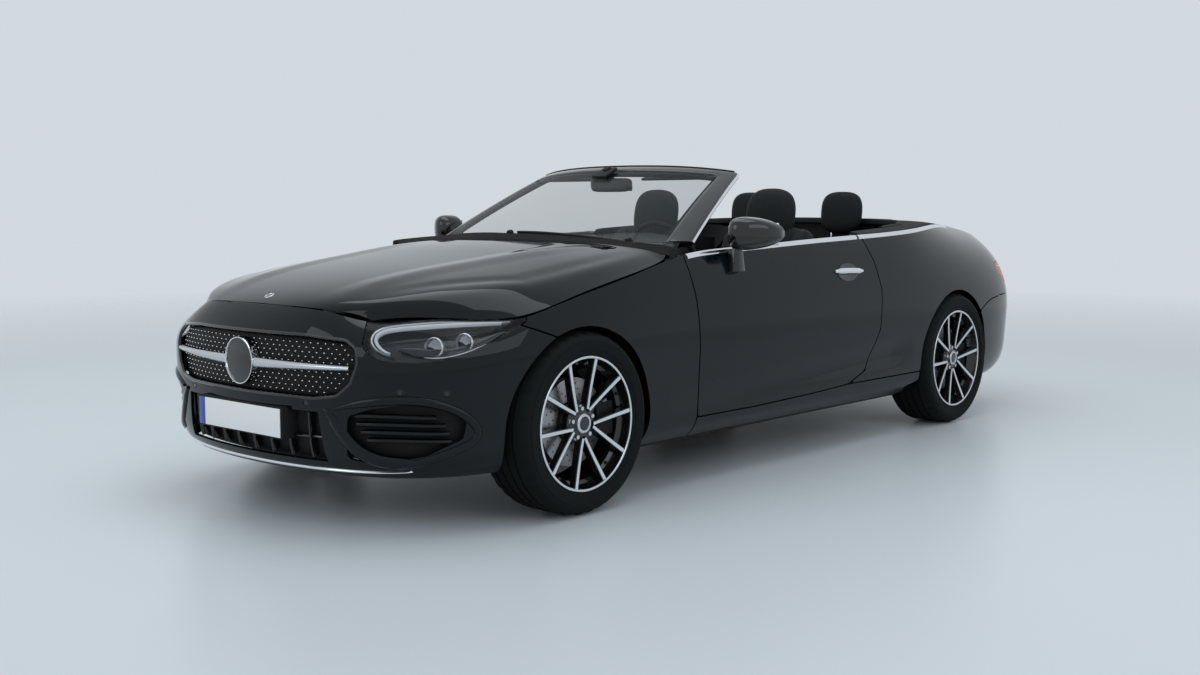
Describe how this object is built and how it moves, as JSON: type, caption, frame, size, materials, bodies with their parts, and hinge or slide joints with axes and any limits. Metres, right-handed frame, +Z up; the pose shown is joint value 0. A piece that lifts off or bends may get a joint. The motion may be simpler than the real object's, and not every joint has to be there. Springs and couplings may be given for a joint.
{
  "type": "convertible car",
  "caption": "Two-door convertible car with its roof stowed, spinning and steering wheels, opening doors, bonnet, boot lid and roof cover, and a four-seat cabin.",
  "frame": {"origin": "on the ground under the middle of the car's length and width, where the tyres stand", "axes": "+X forward to the nose, +Y to the car's left, +Z up"},
  "size_m": [4.856, 2.06, 1.3574],
  "materials": {
    "body_paint": "deep gloss clear coat",
    "black_trim": "fine grain",
    "lamp_glass": "clear",
    "red_lens": "clear red",
    "bright_metal": "polished",
    "glass": "clear",
    "chassis_steel": "satin underbody paint",
    "tyre": "matt rubber",
    "wheel_metal": "gloss black with machined faces",
    "disc_iron": "turned",
    "engine_metal": "cast",
    "dash_plastic": "fine grain",
    "leather": "soft grain",
    "plate_white": "reflective white, blank"
  },
  "bodies": {
    "chassis": {"centre_console": "dash_plastic", "cowl": "black_trim", "dashboard": "dash_plastic", "engine": "engine_metal", "exhaust_tips": "bright_metal", "floor_tub": "chassis_steel", "front_bumper": "body_paint", "front_fender_left": "body_paint", "front_fender_right": "body_paint", "front_grille": "bright_metal", "front_plate": "plate_white", "front_seat_left": "leather", "front_seat_right": "leather", "front_subframe": "chassis_steel", "headlamps": "lamp_glass", "interior_mirror": "black_trim", "lower_grilles": "black_trim", "rear_bumper": "body_paint", "rear_quarter_left": "body_paint", "rear_quarter_right": "body_paint", "rear_seat": "leather", "rear_side_trims": "black_trim", "rear_subframe": "chassis_steel", "side_sill_left": "black_trim", "side_sill_right": "black_trim", "steering_wheel": "dash_plastic", "tail_lamps": "red_lens", "wheel_arch_liners": "black_trim", "windscreen": "glass", "windscreen_frame": "body_paint"},
    "knuckle_left": {"steering_knuckle_left": "chassis_steel"},
    "knuckle_right": {"steering_knuckle_right": "chassis_steel"},
    "door_left": {"door_left": "body_paint", "door_mirror_left": "body_paint", "door_handle_left": "bright_metal"},
    "door_right": {"door_right": "body_paint", "door_mirror_right": "body_paint", "door_handle_right": "bright_metal"},
    "hood": {"hood": "body_paint"},
    "trunk_lid": {"trunk_lid": "body_paint", "rear_plate": "plate_white"},
    "roof_cover": {"roof_cover": "black_trim"},
    "wheel_front_left": {"tyre_front_left": "tyre", "rim_front_left": "wheel_metal", "brake_disc_front_left": "disc_iron"},
    "wheel_front_right": {"tyre_front_right": "tyre", "rim_front_right": "wheel_metal", "brake_disc_front_right": "disc_iron"},
    "wheel_rear_left": {"tyre_rear_left": "tyre", "rim_rear_left": "wheel_metal", "brake_disc_rear_left": "disc_iron"},
    "wheel_rear_right": {"tyre_rear_right": "tyre", "rim_rear_right": "wheel_metal", "brake_disc_rear_right": "disc_iron"}
  },
  "joints": [
    {"name": "steer_left", "type": "hinge", "parent": "chassis", "child": "knuckle_left", "pos_m": [1.552, 0.77, 0.339], "axis": [0, 0, 1], "range_deg": [-34, 34]},
    {"name": "steer_right", "type": "hinge", "parent": "chassis", "child": "knuckle_right", "pos_m": [1.552, -0.77, 0.339], "axis": [0, 0, 1], "range_deg": [-34, 34]},
    {"name": "spin_front_left", "type": "hinge", "parent": "knuckle_left", "child": "wheel_front_left", "pos_m": [1.552, 0.8, 0.339], "axis": [0, 1, 0], "continuous": true},
    {"name": "spin_front_right", "type": "hinge", "parent": "knuckle_right", "child": "wheel_front_right", "pos_m": [1.552, -0.8, 0.339], "axis": [0, 1, 0], "continuous": true},
    {"name": "spin_rear_left", "type": "hinge", "parent": "chassis", "child": "wheel_rear_left", "pos_m": [-1.313, 0.806, 0.339], "axis": [0, 1, 0], "continuous": true},
    {"name": "spin_rear_right", "type": "hinge", "parent": "chassis", "child": "wheel_rear_right", "pos_m": [-1.313, -0.806, 0.339], "axis": [0, 1, 0], "continuous": true},
    {"name": "door_left_hinge", "type": "hinge", "parent": "chassis", "child": "door_left", "pos_m": [0.772, 0.89, 0.6], "axis": [0, 0, -1], "range_deg": [0, 65]},
    {"name": "door_right_hinge", "type": "hinge", "parent": "chassis", "child": "door_right", "pos_m": [0.772, -0.89, 0.6], "axis": [0, 0, 1], "range_deg": [0, 65]},
    {"name": "hood_hinge", "type": "hinge", "parent": "chassis", "child": "hood", "pos_m": [0.985, 0, 1], "axis": [0, -1, 0], "range_deg": [0, 50]},
    {"name": "trunk_lid_hinge", "type": "hinge", "parent": "chassis", "child": "trunk_lid", "pos_m": [-1.48, 0, 1.062], "axis": [0, 1, 0], "range_deg": [0, 70]},
    {"name": "roof_cover_hinge", "type": "hinge", "parent": "chassis", "child": "roof_cover", "pos_m": [-1.477, 0, 1.062], "axis": [0, -1, 0], "range_deg": [0, 40]}
  ],
  "couplings": [
    {"joint": "steer_right", "follows": "steer_left", "ratio": 1}
  ]
}
